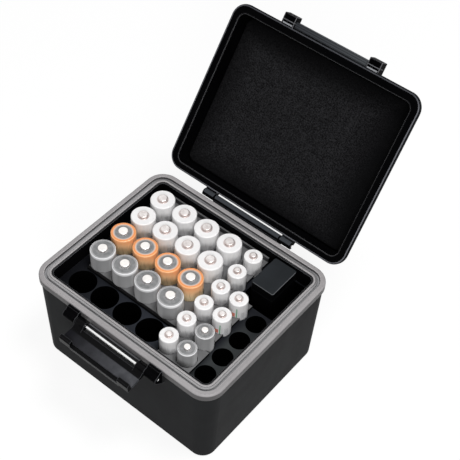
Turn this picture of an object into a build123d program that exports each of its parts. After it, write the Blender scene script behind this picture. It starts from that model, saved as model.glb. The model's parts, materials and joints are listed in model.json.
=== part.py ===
from build123d import *
import math
import os

os.makedirs("parts", exist_ok=True)

# Hinged-lid battery case, open, with its tray of cells.
# Origin: centre of the case's bottom face. +X runs along the hinge, +Y towards the hinge, +Z up.
# Millimetres and degrees.

# ---- driving dimensions: case ----
case_height = 64.5          # bottom face to the top of the rim
rim_height = 4.2            # height of the rim's outer face
rim_overhang = 0.9          # rim stands out past the tub's wall
wall = 2.6                  # tub wall
floor_thickness = 2.6
wall_draft = 2.0            # degrees
opening_length = 111.8      # inside the rim, along X
opening_depth = 92.6        # inside the rim, along Y
opening_corner = 4.5        # corner radius of the opening
lip_width = 1.1             # rim: inner lip, groove, outer flange
groove_width = 2.6
flange_width = 3.1
groove_depth = 1.7
seal_width = 1.2            # seal lies in the groove, beside the lip
seal_side_gap = 0.05
seal_top_drop = 0.25        # seal's crest below the rim's top
seal_edge_round = 0.25
rim_edge_round = 1.2
rim_inner_round = 0.25
bottom_edge_round = 1.6

# ---- driving dimensions: lid ----
lid_height = 15.0
lid_side_margin = 0.3       # lid flange stands in from the rim's outer edge, sides
lid_back_margin = 0.2       # at the hinge
lid_front_margin = 2.5      # at the latch
lid_flange_thickness = 3.0
lid_side_relief = 1.3       # lid's opening is wider than the tub's by this, each side
lid_back_relief = 2.0       # and at the hinge
lid_front_set_in = 1.1      # but narrower by this at the latch
lid_wall = 2.0
lid_top_thickness = 2.0
lid_draft = 4.5             # degrees
lid_edge_round = 4.0
lid_flange_round = 1.2      # outer edge of the mating face
lid_flange_back_round = 0.7
lid_recess_round = 0.4
lid_open_angle = 125.6      # degrees from closed
pad_thickness = 4.0
pad_edge_round = 0.8
pad_side_gap = 0.5

# ---- driving dimensions: hinge ----
hinge_pin_radius = 0.95
knuckle_radius = 2.1
centre_knuckle_length = 46.6
lid_knuckle_length = 8.0
hinge_pin_proud = 0.5
hinge_web_drop = 12.0       # the knuckle's web reaches this far down the wall

# ---- driving dimensions: latch ----
latch_pin_radius = 0.8
latch_axis_out = 3.4        # latch axis in front of the rim's outer edge
latch_axis_drop = 4.4       # latch axis below the rim's top
latch_width = 48.0
latch_ear_width = 8.2
ear_radius = 2.6
ear_top_drop = 0.3          # ear top below the rim's top
ear_top_length = 1.8
ear_web_drop = 9.0
ear_front_slope = 2.0
latch_pin_proud = 0.3
latch_length = 13.8         # axis to the free end
latch_panel_start = 2.3     # axis to the panel's near edge
latch_panel_offset = 0.8    # axis to the panel's inner face
latch_panel_thickness = 2.0
latch_barrel_radius = 2.1
latch_barrel_length = 6.0
hook_width = 7.4
hook_thickness = 2.4
hook_reach = 3.0
finger_lip_length = 2.2
finger_lip_depth = 1.0
lip_step = 0.6
lip_side_step = 0.6
latch_open_angle = 98.0     # degrees from upright
shelf_out = 1.3             # small shelf under the rim, between the barrels
shelf_height = 1.4
keeper_bite = 0.9           # hook overlap on the keeper ledge
latch_closed_lean = 6.0     # degrees past upright, towards the lid, when closed
lug_width = 7.8
lug_out = 6.1               # lugs stand out past the lid's flange
lug_height = 6.7
lug_round = 0.5

# ---- driving dimensions: cells ----
aa_diameter = 14.3
aa_label_height = 49.2      # bottom to the top of the label
aa_nub_radius = 2.75
aaa_diameter = 10.4
aaa_label_height = 43.3
aaa_nub_radius = 1.85
nub_height = 1.4
label_thickness = 0.15
label_top_thickness = 0.25
label_bottom_gap = 0.6      # bare can below the label
label_edge_round = 0.7
can_edge_round = 0.5
label_fit = 0.02
white_ring_gap = 0.7        # bare ring round the nub on a white cell
orange_ring_width = 1.9     # label's flat ring on an orange cell
grey_ring_width = 0.75
washer_thickness = 0.15
washer_gap = 0.1

# ---- driving dimensions: tray ----
aa_label_level = 2.6        # AA label tops above the rim's top
aaa_label_drop = 1.2        # AAA label tops below the AA ones
tray_surface_depth = 13.3   # tray surface below the AA label tops
aa_pitch_x = 16.34
aa_pitch_y = 16.42
aaa_pitch_x = 12.47
aaa_pitch_y = 14.0
aa_columns = 4
aa_rows = 5
aaa_columns = 3
aaa_rows = 6
group_gap = 1.7             # between the AA and the AAA sockets
aa_socket_diameter = 15.7
aaa_socket_diameter = 11.5
socket_floor = 1.6
tray_gap = 0.4              # tray to the rim's opening
border_thickness = 0.7
border_drop = 0.5           # border top below the rim's top
compartment_wall = 0.9      # beside the first AAA column
compartment_front_wall = 1.8
compartment_side_wall = 2.8 # from the border's inner face
compartment_back_wall = 0.8
block_width = 14.8
block_depth = 21.8
block_height = 45.2
block_cap_height = 6.0
block_corner = 1.0
block_left_gap = 2.1
block_back_gap = 0.3
plate_thickness = 2.0
plate_margin = 1.1          # plate edge past the cells it surrounds
plate_tuck = 2.6            # plate's left edges lie this far in from the cells' sides
plate_side_tuck = 1.0       # and its right edge beside the compartment
plate_back_rise = 3.0       # plate's turned-up back edge
plate_back_thickness = 1.0
plate_hole_gap = 0.35
plate_edge_gap = 0.5        # plate edge to the compartment's edge

# ---- named clearances ----
clearance = 0.3             # between bodies that move, and under soft pieces
running_fit = 0.05          # radial, pins in their bores
joint_gap = 0.1             # between fixed pieces that lie against each other
tall = 200.0                # longer than any cut needs

# ---- derived places ----
opening_x = opening_length / 2
opening_y = opening_depth / 2
rim_width = lip_width + groove_width + flange_width
rim_x = opening_x + rim_width
rim_y = opening_y + rim_width
rim_corner = opening_corner + rim_width
rim_bottom = case_height - rim_height
wall_x = rim_x - rim_overhang
wall_y = rim_y - rim_overhang
wall_corner = rim_corner - rim_overhang
draft_slope = math.tan(math.radians(wall_draft))

hinge_y = rim_y + clearance + knuckle_radius
hinge_z = case_height
latch_y = -rim_y - latch_axis_out
latch_z = case_height - latch_axis_drop

lid_plane = case_height + clearance
lid_flange_x = rim_x - lid_side_margin
lid_back = rim_y - lid_back_margin
lid_front = -rim_y + lid_front_margin
lid_middle = (lid_back + lid_front) / 2
lid_flange_y = (lid_back - lid_front) / 2
lid_flange_corner = rim_corner - lid_front_margin
lid_inner_x = opening_x + lid_side_relief
lid_inner_back = opening_y + lid_back_relief
lid_inner_front = -opening_y + lid_front_set_in
lid_inner_y = (lid_inner_back - lid_inner_front) / 2
lid_inner_middle = (lid_inner_back + lid_inner_front) / 2
lid_inner_corner = opening_corner
lid_slope = math.tan(math.radians(lid_draft))
lid_inner_height = lid_height - lid_top_thickness

hook_start = latch_length - hook_thickness
hook_tip = latch_panel_offset - hook_reach
lean_cos = math.cos(math.radians(latch_closed_lean))
lean_sin = math.sin(math.radians(latch_closed_lean))
closed_tip_y = latch_y - hook_tip * lean_cos + hook_start * lean_sin
closed_tip_z = latch_z + hook_start * lean_cos + hook_tip * lean_sin
keeper_y = closed_tip_y - keeper_bite
keeper_top = closed_tip_z - clearance
keeper_bottom = lid_plane + lid_flange_thickness - lid_flange_back_round

aa_top = case_height + aa_label_level
aa_bottom = aa_top - aa_label_height
aaa_top = aa_top - aaa_label_drop
aaa_bottom = aaa_top - aaa_label_height
tray_surface = aa_top - tray_surface_depth
tray_bottom = aa_bottom - socket_floor
tray_x = opening_x - tray_gap
tray_y = opening_y - tray_gap
tray_corner = opening_corner - tray_gap
border_top = case_height - border_drop
inner_x = tray_x - border_thickness
inner_y = tray_y - border_thickness

aa_r = aa_diameter / 2
aaa_r = aaa_diameter / 2
aa_hole_r = aa_socket_diameter / 2
aaa_hole_r = aaa_socket_diameter / 2
aa_span = aa_socket_diameter + (aa_columns - 1) * aa_pitch_x
aaa_span = aaa_socket_diameter + (aaa_columns - 1) * aaa_pitch_x
field_left = -(aa_span + group_gap + aaa_span) / 2
aa_first_x = field_left + aa_hole_r
aa_first_y = (aa_rows - 1) * aa_pitch_y / 2
aaa_first_x = field_left + aa_span + group_gap + aaa_hole_r
aaa_first_y = (aaa_rows - 1) * aaa_pitch_y / 2


def aa_place(column, row):
    """Centre of an AA socket; row 0 is the one by the hinge."""
    return (aa_first_x + column * aa_pitch_x, aa_first_y - row * aa_pitch_y)


def aaa_place(column, row):
    """Centre of an AAA socket; row 0 is the one by the hinge."""
    return (aaa_first_x + column * aaa_pitch_x, aaa_first_y - row * aaa_pitch_y)


# ---- which sockets hold what ----
aa_all = [(c, r) for c in range(aa_columns) for r in range(aa_rows)]
aa_white = [place for place in aa_all if place[1] < 2]
aa_orange = [place for place in aa_all if place[1] == 2]
aa_grey = [place for place in aa_all if place[1] == 3]
aaa_all = [(c, r) for c in range(aaa_columns) for r in range(aaa_rows)]
compartment_rows = 2
aaa_sockets = [place for place in aaa_all if place[0] == 0 or place[1] >= compartment_rows]
aaa_white = [(0, r) for r in range(aaa_rows)] + [(1, 2), (1, 3)]
aaa_grey = [(1, 4), (1, 5)]

# compartment: from the web beside the first AAA column to the right and back borders
compartment_left = aaa_place(0, 0)[0] + aaa_hole_r + compartment_wall
compartment_front = aaa_place(0, compartment_rows)[1] + aaa_hole_r + compartment_front_wall
compartment_right = inner_x - compartment_side_wall
compartment_back = inner_y - compartment_back_wall


# ---- helpers ----
def ring_face(half_x, half_y, corner, z):
    """Rounded rectangle about the case's centre, at a height."""
    return Plane.XY.offset(z) * RectangleRounded(2 * half_x, 2 * half_y, corner)


def slab(half_x, half_y, corner, low, high, draft=0.0):
    """Upright rounded block from low to high, with a positive draft narrowing it upwards."""
    return extrude(ring_face(half_x, half_y, corner, low), high - low, taper=draft)


def box_between(low, high):
    """Box between two corner points."""
    size = [b - a for a, b in zip(low, high)]
    return Pos(*low) * Box(*size, align=(Align.MIN, Align.MIN, Align.MIN))


def profile_along_x(points, low_x, high_x):
    """Closed outline of (y, z) points carried from low_x to high_x."""
    wire = Polyline(*[(low_x, y, z) for y, z in points], close=True)
    face = make_face(wire)
    solid = extrude(face, high_x - low_x, dir=(1, 0, 0))
    return solid


def rod_along_x(radius, y, z, low_x, high_x):
    """Round bar along X."""
    middle = Pos((low_x + high_x) / 2, y, z)
    return middle * Rot(0, 90, 0) * Cylinder(radius, high_x - low_x)


def post(radius, x, y, low, high):
    """Upright round bar."""
    return Pos(x, y, (low + high) / 2) * Cylinder(radius, high - low)


def swing(shape, y, z, angle):
    """Turn a shape about an axis along X through (y, z)."""
    return Pos(0, y, z) * Rot(angle, 0, 0) * Pos(0, -y, -z) * shape


def mirrored_pair(make):
    """The same feature on both sides: make(low_x, high_x) is called for the right and the left."""
    return lambda low, high: make(low, high) + make(-high, -low)


def save(shape, name):
    """Write one node, as a solid or a group of separate solids."""
    solids = list(shape.solids())
    whole = solids[0] if len(solids) == 1 else Compound(children=solids)
    export_step(whole, "parts/" + name + ".step")


# ---- base_shell ----
def tub():
    bottom_x = wall_x - rim_bottom * draft_slope
    bottom_y = wall_y - rim_bottom * draft_slope
    bottom_corner = wall_corner - rim_bottom * draft_slope
    outer = slab(bottom_x, bottom_y, bottom_corner, 0, rim_bottom, -wall_draft)
    bottom_edges = outer.edges().group_by(Axis.Z)[0]
    outer = fillet(bottom_edges, min(bottom_edge_round, floor_thickness * 0.8))
    rise = floor_thickness * draft_slope
    inner = slab(bottom_x - wall + rise, bottom_y - wall + rise, bottom_corner - wall + rise,
                 floor_thickness, rim_bottom, -wall_draft)
    return outer - inner


def hinge_web():
    """Centre knuckle, and the web under the rim that carries it."""
    half = centre_knuckle_length / 2
    inside = wall_y - wall / 2
    face = rim_y + joint_gap
    back = hinge_y + knuckle_radius
    outline = [(inside - hinge_web_drop * draft_slope, rim_bottom - hinge_web_drop), (inside, rim_bottom),
               (face, rim_bottom), (face, hinge_z), (back, hinge_z), (back, rim_bottom - knuckle_radius)]
    web = profile_along_x(outline, -half, half)
    return web + rod_along_x(knuckle_radius, hinge_y, hinge_z, -half, half)


def latch_ear(low_x, high_x):
    """One ear: under the rim, out past its face and round the latch pin."""
    inside = -(wall_y - wall / 2)
    face = -(rim_y + joint_gap)
    top = case_height - ear_top_drop
    outline = [(inside + ear_web_drop * draft_slope, rim_bottom - ear_web_drop), (inside, rim_bottom),
               (face, rim_bottom), (face, top), (face - ear_top_length, top),
               (latch_y - ear_radius * math.cos(math.radians(ear_front_slope)), latch_z),
               (latch_y - ear_radius / 2, latch_z - ear_radius)]
    web = profile_along_x(outline, low_x, high_x)
    return web + rod_along_x(ear_radius, latch_y, latch_z, low_x, high_x)


def base_shell():
    ear_start = latch_width / 2 + clearance
    ears = mirrored_pair(latch_ear)(ear_start, ear_start + latch_ear_width)
    shelf_half = latch_width / 2 - latch_barrel_length - clearance
    shelf = box_between((-shelf_half, -rim_y - shelf_out, rim_bottom - shelf_height),
                        (shelf_half, -wall_y + wall / 2, rim_bottom))
    shell = tub() + hinge_web() + ears + shelf
    bore_half = latch_width + latch_ear_width
    shell -= rod_along_x(latch_pin_radius + running_fit, latch_y, latch_z, -bore_half, bore_half)
    shell -= rod_along_x(hinge_pin_radius + running_fit, hinge_y, hinge_z,
                         -centre_knuckle_length, centre_knuckle_length)
    return shell


# ---- rim_frame and seal_ring ----
def rim_frame():
    ring = slab(rim_x, rim_y, rim_corner, rim_bottom, case_height)
    ring = fillet(ring.edges().group_by(Axis.Z)[-1], rim_edge_round)
    ring -= slab(opening_x, opening_y, opening_corner, rim_bottom, case_height)
    groove_in = lip_width
    groove_out = lip_width + groove_width
    floor = case_height - groove_depth
    groove = slab(opening_x + groove_out, opening_y + groove_out, opening_corner + groove_out,
                  floor, case_height)
    groove -= slab(opening_x + groove_in, opening_y + groove_in, opening_corner + groove_in,
                   floor, case_height)
    ring -= groove
    crests = ring.edges().group_by(Axis.Z)[-1]
    crests = [edge for edge in crests if edge.length > 0]
    inner_crests = [edge for edge in crests if within(edge, opening_x + groove_out)]
    return fillet(inner_crests, rim_inner_round)


def within(edge, half_x):
    """True for an edge that lies no further out than half_x along X and the same offset along Y."""
    offset = half_x - opening_x
    middle = edge.center()
    margin = flange_width / 4
    inside_x = abs(middle.X) < half_x + margin
    inside_y = abs(middle.Y) < opening_y + offset + margin
    return inside_x and inside_y


def seal_ring():
    low = case_height - groove_depth
    high = case_height - seal_top_drop
    near = lip_width + seal_side_gap
    far = near + seal_width
    ring = slab(opening_x + far, opening_y + far, opening_corner + far, low, high)
    ring -= slab(opening_x + near, opening_y + near, opening_corner + near, low, high)
    return fillet(ring.edges().group_by(Axis.Z)[-1], seal_edge_round)


# ---- lid, drawn closed and then swung open ----
def open_lid(shape):
    return swing(shape, hinge_y, hinge_z, -lid_open_angle)


def lid_arm(low_x, high_x):
    """Arm from the lid's flange to one lid knuckle."""
    top = lid_plane + lid_flange_thickness
    root = lid_inner_back + lid_wall / 2
    outline = [(root, lid_plane), (hinge_y, lid_plane), (hinge_y, hinge_z + knuckle_radius),
               (lid_back, top), (root, top)]
    return profile_along_x(outline, low_x, high_x) + rod_along_x(knuckle_radius, hinge_y, hinge_z,
                                                                 low_x, high_x)


def lid_lug(low_x, high_x):
    """Lug beside the latch, from the lid's wall to past its flange."""
    front = lid_front - lug_out
    root = lid_inner_front - lid_wall / 2
    low = lid_plane + clearance
    lug = box_between((low_x, front, low), (high_x, root, low + lug_height))
    return fillet(lug.edges().filter_by(Axis.X).group_by(Axis.Y)[0], lug_round)


def keeper_ledge():
    """Ledge between the lugs that the latch hooks over."""
    half = latch_width / 2 + clearance
    root = lid_inner_front - lid_wall / 2
    return box_between((-half, keeper_y, keeper_bottom), (half, root, keeper_top))


def lid_shell():
    flange_top = lid_plane + lid_flange_thickness
    flange = slab(lid_flange_x, lid_flange_y, lid_flange_corner, lid_plane, flange_top)
    flange = fillet(flange.edges().group_by(Axis.Z)[0], lid_flange_round)
    flange = Pos(0, lid_middle, 0) * fillet(flange.edges().group_by(Axis.Z)[-1], lid_flange_back_round)
    dome = slab(lid_inner_x + lid_wall, lid_inner_y + lid_wall, lid_inner_corner + lid_wall,
                lid_plane, lid_plane + lid_height, lid_draft)
    dome = Pos(0, lid_inner_middle, 0) * fillet(dome.edges().group_by(Axis.Z)[-1], lid_edge_round)
    side_start = latch_width / 2 + clearance
    lugs = mirrored_pair(lid_lug)(side_start, side_start + lug_width)
    knuckle_start = centre_knuckle_length / 2 + clearance
    arms = mirrored_pair(lid_arm)(knuckle_start, knuckle_start + lid_knuckle_length)
    hollow = slab(lid_inner_x, lid_inner_y, lid_inner_corner,
                  lid_plane, lid_plane + lid_inner_height, lid_draft)
    shell = flange + dome + lugs + arms + keeper_ledge() - Pos(0, lid_inner_middle, 0) * hollow
    shell = fillet(recess_edges(shell), lid_recess_round)
    reach = knuckle_start + lid_knuckle_length
    shell -= rod_along_x(hinge_pin_radius + running_fit, hinge_y, hinge_z, -reach, reach)
    return open_lid(shell)


def recess_edges(shell):
    """Edges round the lid's opening, on its mating face."""
    found = []
    for edge in shell.edges():
        middle = edge.center()
        on_face = abs(middle.Z - lid_plane) < clearance / 2
        inside_x = abs(middle.X) < lid_inner_x + lid_wall / 2
        inside_y = abs(middle.Y - lid_inner_middle) < lid_inner_y + lid_wall / 2
        if on_face and inside_x and inside_y:
            found.append(edge)
    return found


def lid_pad():
    rise = lid_inner_height - clearance - pad_thickness
    inset = pad_side_gap + lid_inner_height * lid_slope
    low = lid_plane + rise
    pad = slab(lid_inner_x - inset, lid_inner_y - inset, lid_inner_corner - pad_side_gap,
               low, low + pad_thickness)
    pad = fillet(pad.edges().group_by(Axis.Z)[0], min(pad_edge_round, pad_thickness * 0.6))
    return open_lid(Pos(0, lid_inner_middle, 0) * pad)


def hinge_pin():
    half = centre_knuckle_length / 2 + clearance + lid_knuckle_length + hinge_pin_proud
    return rod_along_x(hinge_pin_radius, hinge_y, hinge_z, -half, half)


# ---- latch, drawn closed and then swung open ----
def open_latch(shape):
    return swing(shape, latch_y, latch_z, latch_open_angle)


def lever_point(out, along):
    """(y, z) of a point of the closed lever: out from the pin's axis, and along towards its free end."""
    return (latch_y - out, latch_z + along)


def latch_barrel(low_x, high_x):
    """Barrel on the pin, with its arm to the panel."""
    outer = latch_panel_offset + latch_panel_thickness
    arm_end = latch_panel_start + latch_panel_thickness
    arm = [lever_point(-latch_barrel_radius * 0.5, 0), lever_point(latch_barrel_radius, 0),
           lever_point(outer, latch_panel_start), lever_point(outer, arm_end),
           lever_point(latch_panel_offset, arm_end),
           lever_point(-latch_barrel_radius * 0.5, latch_barrel_radius * 0.6)]
    barrel = rod_along_x(latch_barrel_radius, latch_y, latch_z, low_x, high_x)
    return barrel + profile_along_x(arm, low_x, high_x)


def latch_hook(low_x, high_x):
    """Hook at the free end, reaching in over the keeper."""
    outline = [lever_point(latch_panel_offset + lip_step, hook_start), lever_point(hook_tip, hook_start),
               lever_point(hook_tip, latch_length - hook_thickness / 3),
               lever_point(hook_tip + hook_thickness / 3, latch_length),
               lever_point(latch_panel_offset + lip_step, latch_length)]
    return profile_along_x(outline, low_x, high_x)


def latch_lever():
    half = latch_width / 2
    outer = latch_panel_offset + latch_panel_thickness
    panel_outline = [lever_point(latch_panel_offset, latch_panel_start),
                     lever_point(outer, latch_panel_start),
                     lever_point(outer, latch_length),
                     lever_point(latch_panel_offset, latch_length)]
    lever = profile_along_x(panel_outline, -half, half)
    lip_start = latch_length - finger_lip_length
    recess_half = half - hook_width + lip_side_step
    recess = profile_along_x([lever_point(latch_panel_offset, lip_start),
                              lever_point(latch_panel_offset + lip_step, lip_start),
                              lever_point(latch_panel_offset + lip_step, latch_length),
                              lever_point(latch_panel_offset, latch_length)], -recess_half, recess_half)
    lip = profile_along_x([lever_point(outer, lip_start),
                           lever_point(outer + finger_lip_depth, latch_length),
                           lever_point(outer, latch_length)], -recess_half, recess_half)
    barrels = mirrored_pair(latch_barrel)(half - latch_barrel_length, half)
    hooks = mirrored_pair(latch_hook)(half - hook_width, half)
    lever = lever - recess + lip + barrels + hooks
    lever -= rod_along_x(latch_pin_radius + running_fit, latch_y, latch_z, -half, half)
    return open_latch(lever)


def latch_pin():
    half = latch_width / 2 + clearance + latch_ear_width + latch_pin_proud
    return rod_along_x(latch_pin_radius, latch_y, latch_z, -half, half)


# ---- inside the tub ----
def tray_section(low_x, low_y, high_x, high_y, aa_places, aaa_places):
    """One upright block of the tray between two corners, with its sockets."""
    block = slab(tray_x, tray_y, tray_corner, tray_bottom, tray_surface)
    block &= box_between((low_x, low_y, tray_bottom), (high_x, high_y, tray_surface))
    for place in aa_places:
        block -= post(aa_hole_r, *aa_place(*place), aa_bottom, tray_surface)
    for place in aaa_places:
        block -= post(aaa_hole_r, *aaa_place(*place), aaa_bottom, tray_surface)
    return block


def tray_border():
    """Raised wall round the tray's edge."""
    ring = slab(tray_x, tray_y, tray_corner, tray_surface, border_top)
    return ring - slab(inner_x, inner_y, tray_corner - border_thickness, tray_surface, border_top)


def save_tray():
    """The tray's blocks meet face to face: loaded rows, the empty row and column, and the compartment."""
    group_seam = field_left + aa_span + group_gap / 2
    row_seam = (aa_place(0, 3)[1] + aa_place(0, 4)[1]) / 2
    first_seam = (aaa_place(0, 0)[0] + aaa_place(1, 0)[0]) / 2
    last_seam = (aaa_place(1, 0)[0] + aaa_place(2, 0)[0]) / 2
    pocket_seam = compartment_front - compartment_front_wall / 2
    aa_loaded = [place for place in aa_all if place[1] < 4]
    aa_empty_left = [place for place in aa_all if place[1] == 4 and place[0] < 2]
    aa_empty_right = [place for place in aa_all if place[1] == 4 and place[0] >= 2]
    half_seam = (aa_place(1, 4)[0] + aa_place(2, 4)[0]) / 2
    aaa_first = [place for place in aaa_sockets if place[0] == 0]
    aaa_middle = [place for place in aaa_sockets if place[0] == 1]
    aaa_empty = [place for place in aaa_sockets if place[0] == 2]
    save(tray_section(-tray_x, row_seam, group_seam, tray_y, aa_loaded, []), "tray_aa_block")
    save(tray_section(-tray_x, -tray_y, half_seam, row_seam, aa_empty_left, []), "tray_aa_front_left")
    save(tray_section(half_seam, -tray_y, group_seam, row_seam, aa_empty_right, []), "tray_aa_front_right")
    save(tray_section(group_seam, -tray_y, first_seam, tray_y, [], aaa_first), "tray_aaa_left_column")
    save(tray_section(first_seam, -tray_y, last_seam, pocket_seam, [], aaa_middle), "tray_aaa_middle_column")
    save(tray_section(last_seam, -tray_y, tray_x, pocket_seam, [], aaa_empty), "tray_aaa_right_column")
    pocket = tray_section(first_seam, pocket_seam, tray_x, tray_y, [], [])
    pocket -= box_between((compartment_left, compartment_front, aa_bottom),
                          (compartment_right, compartment_back, tray_surface))
    save(pocket, "tray_compartment")
    save(tray_border(), "tray_border")


def base_pad():
    low = floor_thickness + clearance
    high = tray_bottom - clearance
    return slab(tray_x, tray_y, tray_corner, low, high)


def with_cell_holes(plate, low, high):
    """Cut the holes that the cells pass through, and leave out any chip cut loose at an edge."""
    for place in aa_white + aa_orange + aa_grey:
        plate -= post(aa_r + plate_hole_gap, *aa_place(*place), low - clearance, high + clearance)
    for place in aaa_white + aaa_grey:
        plate -= post(aaa_r + plate_hole_gap, *aaa_place(*place), low - clearance, high + clearance)
    return plate.solids().sort_by(SortBy.VOLUME)[-1]


def save_plate():
    """The plate round the cells, in two pieces that meet in front of the AA cells."""
    low = tray_surface
    high = tray_surface + plate_thickness
    seam_y = aa_place(0, 3)[1] - aa_r - plate_margin
    first_x = aaa_place(0, 0)[0]
    second_x = aaa_place(1, 0)[0]
    left = aa_place(0, 0)[0] - aa_r + plate_tuck
    back = inner_y - clearance
    side = first_x + aaa_r - plate_side_tuck
    main = box_between((left, seam_y, low), (side, back, high))
    main += box_between((left, back - plate_back_thickness, low), (side, back, high + plate_back_rise))
    corner = tray_corner - border_thickness
    inside = slab(inner_x - clearance, inner_y - clearance, corner, low, high + plate_back_rise)
    save(with_cell_holes(main & inside, low, high), "grey_plate_main")
    foot = box_between((first_x - aaa_r + plate_tuck, -inner_y + clearance, low),
                       (second_x + aaa_r + plate_margin, seam_y, high))
    foot += box_between((side, seam_y, low),
                        (second_x + aaa_r - plate_side_tuck, compartment_front - plate_edge_gap, high))
    save(with_cell_holes(foot, low, high), "grey_plate_foot")


def accessory_block(low, high):
    """One height slice of the block that stands in the compartment."""
    left = compartment_left + block_left_gap
    back = compartment_back - block_back_gap
    middle = Pos(left + block_width / 2, back - block_depth / 2, low)
    return extrude(middle * RectangleRounded(block_width, block_depth, block_corner), high - low)


# ---- cells ----
def can(radius, nub_radius, label_height):
    """Steel can with its raised end, standing on z = 0."""
    body_radius = radius - label_thickness - label_fit
    shoulder = label_height - label_top_thickness - label_fit
    body = Pos(0, 0, shoulder / 2) * Cylinder(body_radius, shoulder)
    body = fillet(body.edges().filter_by(GeomType.CIRCLE), can_edge_round)
    top = label_height + nub_height
    nub = Pos(0, 0, (shoulder + top) / 2) * Cylinder(nub_radius, top - shoulder)
    nub = fillet(nub.edges().filter_by(GeomType.CIRCLE).group_by(Axis.Z)[-1], can_edge_round)
    return body + nub


def label(radius, label_height, ring_inner):
    """Label sleeve, turned in over the can's shoulder."""
    outer = post(radius, 0, 0, label_bottom_gap, label_height)
    outer = fillet(outer.edges().filter_by(GeomType.CIRCLE).group_by(Axis.Z)[-1], label_edge_round)
    inside_radius = radius - label_thickness
    inner = post(inside_radius, 0, 0, 0, label_height - label_top_thickness)
    inner = fillet(inner.edges().filter_by(GeomType.CIRCLE).group_by(Axis.Z)[-1], can_edge_round)
    return outer - inner - post(ring_inner, 0, 0, 0, label_height + nub_height)


def washer(outer_radius, nub_radius, label_height):
    """Insulating ring round the raised end, lying on the can's shoulder."""
    low = label_height - label_top_thickness - label_fit
    high = low + washer_thickness
    return post(outer_radius, 0, 0, low, high) - post(nub_radius + washer_gap, 0, 0, low, high)


def group(shape, places, locate, bottom):
    """One copy of a shape at each place, as separate solids."""
    copies = []
    for place in places:
        x, y = locate(*place)
        copies += (Pos(x, y, bottom) * shape).solids()
    return Compound(children=copies)


def save_cells(name, places, aa_size, ring_width, with_washer):
    radius = aa_r if aa_size else aaa_r
    nub_radius = aa_nub_radius if aa_size else aaa_nub_radius
    height = aa_label_height if aa_size else aaa_label_height
    locate = aa_place if aa_size else aaa_place
    bottom = aa_bottom if aa_size else aaa_bottom
    ring_inner = radius - ring_width if with_washer else nub_radius + white_ring_gap
    save(group(can(radius, nub_radius, height), places, locate, bottom), name + "_cans")
    save(group(label(radius, height, ring_inner), places, locate, bottom), name + "_sleeves")
    if with_washer:
        ring = washer(ring_inner - washer_gap, nub_radius, height)
        save(group(ring, places, locate, bottom), name + "_washers")


save(base_shell(), "base_shell")
save(rim_frame(), "rim_frame")
save(seal_ring(), "seal_ring")
save(base_pad(), "base_pad")
save(lid_shell(), "lid_shell")
save(lid_pad(), "lid_pad")
save(hinge_pin(), "hinge_pin")
save(latch_lever(), "latch_lever")
save(latch_pin(), "latch_pin")
save_tray()
save_plate()
block_top = aa_bottom + block_height
block_seam = block_top - block_cap_height
save(accessory_block(aa_bottom, block_seam), "accessory_body")
save(accessory_block(block_seam, block_top), "accessory_cap")
save_cells("aa_white", aa_white, True, grey_ring_width, False)
save_cells("aa_orange", aa_orange, True, orange_ring_width, True)
save_cells("aa_grey", aa_grey, True, grey_ring_width, True)
save_cells("aaa_white", aaa_white, False, grey_ring_width, False)
save_cells("aaa_grey", aaa_grey, False, grey_ring_width, True)
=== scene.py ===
import json
import math

import bmesh
import bpy
from mathutils import Matrix, Vector, noise


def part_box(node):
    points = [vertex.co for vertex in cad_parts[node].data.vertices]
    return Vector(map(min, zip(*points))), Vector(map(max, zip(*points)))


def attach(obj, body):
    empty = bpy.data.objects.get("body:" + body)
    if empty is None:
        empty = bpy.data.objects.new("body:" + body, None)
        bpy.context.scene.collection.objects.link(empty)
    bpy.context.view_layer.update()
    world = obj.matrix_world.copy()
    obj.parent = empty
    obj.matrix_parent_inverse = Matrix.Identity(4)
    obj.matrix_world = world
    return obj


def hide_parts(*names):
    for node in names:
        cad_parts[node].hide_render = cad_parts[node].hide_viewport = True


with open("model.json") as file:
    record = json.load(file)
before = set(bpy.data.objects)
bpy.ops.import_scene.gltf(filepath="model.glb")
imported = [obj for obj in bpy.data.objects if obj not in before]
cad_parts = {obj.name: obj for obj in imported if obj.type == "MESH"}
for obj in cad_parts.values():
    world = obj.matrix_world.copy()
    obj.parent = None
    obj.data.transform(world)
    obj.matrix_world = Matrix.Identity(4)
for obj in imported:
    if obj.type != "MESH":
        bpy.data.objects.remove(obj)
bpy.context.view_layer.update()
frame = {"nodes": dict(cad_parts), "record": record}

MM = 0.001
NODES = frame["nodes"]
scene = bpy.context.scene
scene.view_settings.view_transform = "Standard"


# ---- camera: solved from the photograph ----
CAMERA_AT = Vector((0.23903, -0.28585, 0.5303))
CAMERA_TARGET = Vector((-0.00023, 0.04029, 0.0671))
CAMERA_ROLL = math.radians(3.971)
CAMERA_LENS = 86.324
CAMERA_NEAR = 0.01
CAMERA_FAR = 20.0
SENSOR = 36.0


def make_camera():
    ahead = (CAMERA_TARGET - CAMERA_AT).normalized()
    right = ahead.cross(Vector((0, 0, 1))).normalized()
    up = right.cross(ahead)
    cos_roll = math.cos(CAMERA_ROLL)
    sin_roll = math.sin(CAMERA_ROLL)
    rolled_right = right * cos_roll + up * sin_roll
    rolled_up = up * cos_roll - right * sin_roll
    turn = Matrix((rolled_right, rolled_up, -ahead)).transposed()
    data = bpy.data.cameras.new("camera")
    data.sensor_width = SENSOR
    data.lens = CAMERA_LENS
    data.clip_start = CAMERA_NEAR
    data.clip_end = CAMERA_FAR
    camera = bpy.data.objects.new("camera", data)
    camera.matrix_world = Matrix.Translation(CAMERA_AT) @ turn.to_4x4()
    scene.collection.objects.link(camera)
    scene.camera = camera


make_camera()


# ---- node helpers ----
RIDGE_SAMPLES = 8
RIDGE_SHARP = 0.62          # how open a piece's inside is, looked at from its edge
RIDGE_FLAT = 0.92           # and from a flat face


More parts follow.
